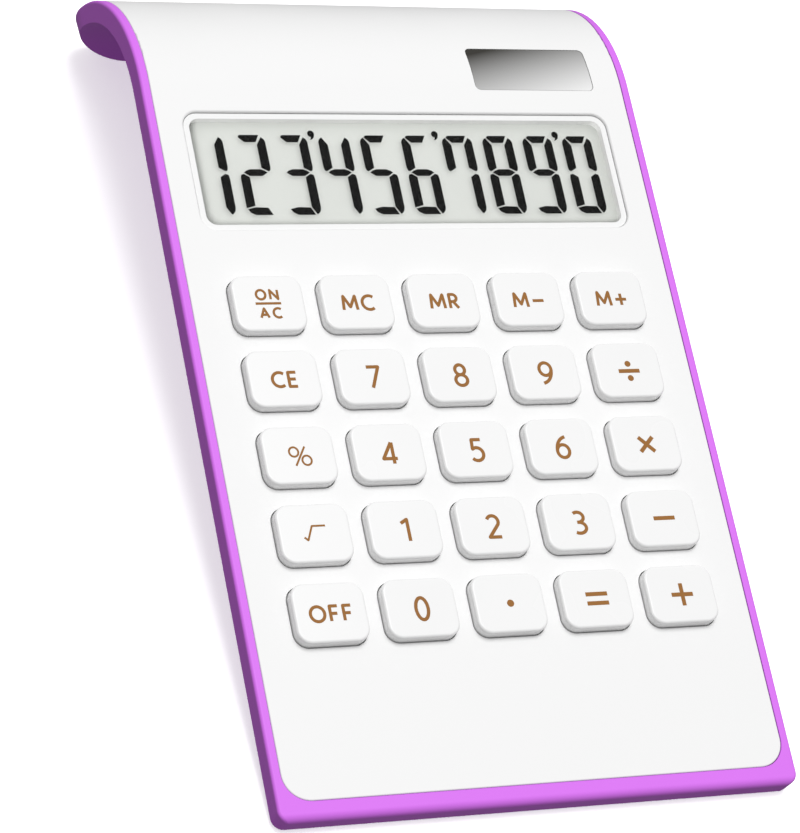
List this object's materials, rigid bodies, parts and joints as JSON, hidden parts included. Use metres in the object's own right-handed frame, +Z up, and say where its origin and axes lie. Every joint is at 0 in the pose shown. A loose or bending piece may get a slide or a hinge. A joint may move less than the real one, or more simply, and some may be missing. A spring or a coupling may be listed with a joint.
{
  "type": "desk calculator",
  "caption": "Slim desk calculator: a sloping panel with rounded keys and a wide display, which curls over at the top into a curved rear leg.",
  "frame": {"origin": "centre of the footprint, on the table that the calculator stands on", "axes": "+Z up, +Y from the user's edge towards the curled rear leg, +X to the user's right"},
  "size_m": [0.1, 0.1752, 0.0315],
  "materials": {
    "white_cover": "fine satin moulding",
    "purple_case": "satin moulding",
    "key_white": "glossy moulding with printed legend",
    "clear_window": "clear polished acrylic",
    "smoked_window": "smoked polished acrylic",
    "lcd_film": "clear polarising film",
    "lcd_glass": "thin clear glass",
    "lcd_reflector_film": "grey reflective film",
    "inner_frame": "plain moulding",
    "elastomer": "striped elastomer",
    "solar_silicon": "dark amorphous silicon on glass",
    "wire_insulation": "thin insulated wire",
    "silicone": "translucent silicone",
    "carbon_rubber": "carbon filled rubber",
    "board_laminate": "phenolic laminate",
    "epoxy": "black epoxy",
    "ceramic_chip": "ceramic",
    "resistor_chip": "ceramic with black cap",
    "screw_steel": "zinc plated steel",
    "cell_steel": "nickel plated steel",
    "contact_brass": "plated spring strip",
    "foot_rubber": "soft rubber"
  },
  "bodies": {
    "case": {"front_cover": "white_cover", "rear_cover": "purple_case", "battery_door": "purple_case", "display_window": "clear_window", "lcd_front_polariser": "lcd_film", "lcd_reflector": "lcd_reflector_film", "lcd_front_glass": "lcd_glass", "lcd_rear_glass": "lcd_glass", "lcd_holder": "inner_frame", "lcd_connector": "elastomer", "solar_window": "smoked_window", "solar_cell": "solar_silicon", "solar_wires": "wire_insulation", "battery_wires": "wire_insulation", "keypad_membrane": "silicone", "contact_pills": "carbon_rubber", "circuit_board": "board_laminate", "processor_blob": "epoxy", "board_capacitors": "ceramic_chip", "board_resistors": "resistor_chip", "board_screws": "screw_steel", "case_screws": "screw_steel", "battery_door_screw": "screw_steel", "battery_cell": "cell_steel", "battery_contact_negative": "contact_brass", "battery_contact_positive": "contact_brass", "front_feet": "foot_rubber"},
    "key_on_ac": {"key_on_ac": "key_white"},
    "key_mc": {"key_mc": "key_white"},
    "key_mr": {"key_mr": "key_white"},
    "key_m_minus": {"key_m_minus": "key_white"},
    "key_m_plus": {"key_m_plus": "key_white"},
    "key_ce": {"key_ce": "key_white"},
    "key_7": {"key_7": "key_white"},
    "key_8": {"key_8": "key_white"},
    "key_9": {"key_9": "key_white"},
    "key_divide": {"key_divide": "key_white"},
    "key_percent": {"key_percent": "key_white"},
    "key_4": {"key_4": "key_white"},
    "key_5": {"key_5": "key_white"},
    "key_6": {"key_6": "key_white"},
    "key_multiply": {"key_multiply": "key_white"},
    "key_root": {"key_root": "key_white"},
    "key_1": {"key_1": "key_white"},
    "key_2": {"key_2": "key_white"},
    "key_3": {"key_3": "key_white"},
    "key_minus": {"key_minus": "key_white"},
    "key_off": {"key_off": "key_white"},
    "key_0": {"key_0": "key_white"},
    "key_point": {"key_point": "key_white"},
    "key_equals": {"key_equals": "key_white"},
    "key_plus": {"key_plus": "key_white"}
  },
  "joints": [
    {"name": "key_on_ac_press", "type": "slide", "parent": "case", "child": "key_on_ac", "axis": [0, 0.1857, -0.9826], "range_m": [0, 0.001], "stiffness_N_per_m": 500, "deforming": ["keypad_membrane"]},
    {"name": "key_mc_press", "type": "slide", "parent": "case", "child": "key_mc", "axis": [0, 0.1857, -0.9826], "range_m": [0, 0.001], "stiffness_N_per_m": 500, "deforming": ["keypad_membrane"]},
    {"name": "key_mr_press", "type": "slide", "parent": "case", "child": "key_mr", "axis": [0, 0.1857, -0.9826], "range_m": [0, 0.001], "stiffness_N_per_m": 500, "deforming": ["keypad_membrane"]},
    {"name": "key_m_minus_press", "type": "slide", "parent": "case", "child": "key_m_minus", "axis": [0, 0.1857, -0.9826], "range_m": [0, 0.001], "stiffness_N_per_m": 500, "deforming": ["keypad_membrane"]},
    {"name": "key_m_plus_press", "type": "slide", "parent": "case", "child": "key_m_plus", "axis": [0, 0.1857, -0.9826], "range_m": [0, 0.001], "stiffness_N_per_m": 500, "deforming": ["keypad_membrane"]},
    {"name": "key_ce_press", "type": "slide", "parent": "case", "child": "key_ce", "axis": [0, 0.1857, -0.9826], "range_m": [0, 0.001], "stiffness_N_per_m": 500, "deforming": ["keypad_membrane"]},
    {"name": "key_7_press", "type": "slide", "parent": "case", "child": "key_7", "axis": [0, 0.1857, -0.9826], "range_m": [0, 0.001], "stiffness_N_per_m": 500, "deforming": ["keypad_membrane"]},
    {"name": "key_8_press", "type": "slide", "parent": "case", "child": "key_8", "axis": [0, 0.1857, -0.9826], "range_m": [0, 0.001], "stiffness_N_per_m": 500, "deforming": ["keypad_membrane"]},
    {"name": "key_9_press", "type": "slide", "parent": "case", "child": "key_9", "axis": [0, 0.1857, -0.9826], "range_m": [0, 0.001], "stiffness_N_per_m": 500, "deforming": ["keypad_membrane"]},
    {"name": "key_divide_press", "type": "slide", "parent": "case", "child": "key_divide", "axis": [0, 0.1857, -0.9826], "range_m": [0, 0.001], "stiffness_N_per_m": 500, "deforming": ["keypad_membrane"]},
    {"name": "key_percent_press", "type": "slide", "parent": "case", "child": "key_percent", "axis": [0, 0.1857, -0.9826], "range_m": [0, 0.001], "stiffness_N_per_m": 500, "deforming": ["keypad_membrane"]},
    {"name": "key_4_press", "type": "slide", "parent": "case", "child": "key_4", "axis": [0, 0.1857, -0.9826], "range_m": [0, 0.001], "stiffness_N_per_m": 500, "deforming": ["keypad_membrane"]},
    {"name": "key_5_press", "type": "slide", "parent": "case", "child": "key_5", "axis": [0, 0.1857, -0.9826], "range_m": [0, 0.001], "stiffness_N_per_m": 500, "deforming": ["keypad_membrane"]},
    {"name": "key_6_press", "type": "slide", "parent": "case", "child": "key_6", "axis": [0, 0.1857, -0.9826], "range_m": [0, 0.001], "stiffness_N_per_m": 500, "deforming": ["keypad_membrane"]},
    {"name": "key_multiply_press", "type": "slide", "parent": "case", "child": "key_multiply", "axis": [0, 0.1857, -0.9826], "range_m": [0, 0.001], "stiffness_N_per_m": 500, "deforming": ["keypad_membrane"]},
    {"name": "key_root_press", "type": "slide", "parent": "case", "child": "key_root", "axis": [0, 0.1857, -0.9826], "range_m": [0, 0.001], "stiffness_N_per_m": 500, "deforming": ["keypad_membrane"]},
    {"name": "key_1_press", "type": "slide", "parent": "case", "child": "key_1", "axis": [0, 0.1857, -0.9826], "range_m": [0, 0.001], "stiffness_N_per_m": 500, "deforming": ["keypad_membrane"]},
    {"name": "key_2_press", "type": "slide", "parent": "case", "child": "key_2", "axis": [0, 0.1857, -0.9826], "range_m": [0, 0.001], "stiffness_N_per_m": 500, "deforming": ["keypad_membrane"]},
    {"name": "key_3_press", "type": "slide", "parent": "case", "child": "key_3", "axis": [0, 0.1857, -0.9826], "range_m": [0, 0.001], "stiffness_N_per_m": 500, "deforming": ["keypad_membrane"]},
    {"name": "key_minus_press", "type": "slide", "parent": "case", "child": "key_minus", "axis": [0, 0.1857, -0.9826], "range_m": [0, 0.001], "stiffness_N_per_m": 500, "deforming": ["keypad_membrane"]},
    {"name": "key_off_press", "type": "slide", "parent": "case", "child": "key_off", "axis": [0, 0.1857, -0.9826], "range_m": [0, 0.001], "stiffness_N_per_m": 500, "deforming": ["keypad_membrane"]},
    {"name": "key_0_press", "type": "slide", "parent": "case", "child": "key_0", "axis": [0, 0.1857, -0.9826], "range_m": [0, 0.001], "stiffness_N_per_m": 500, "deforming": ["keypad_membrane"]},
    {"name": "key_point_press", "type": "slide", "parent": "case", "child": "key_point", "axis": [0, 0.1857, -0.9826], "range_m": [0, 0.001], "stiffness_N_per_m": 500, "deforming": ["keypad_membrane"]},
    {"name": "key_equals_press", "type": "slide", "parent": "case", "child": "key_equals", "axis": [0, 0.1857, -0.9826], "range_m": [0, 0.001], "stiffness_N_per_m": 500, "deforming": ["keypad_membrane"]},
    {"name": "key_plus_press", "type": "slide", "parent": "case", "child": "key_plus", "axis": [0, 0.1857, -0.9826], "range_m": [0, 0.001], "stiffness_N_per_m": 500, "deforming": ["keypad_membrane"]}
  ]
}
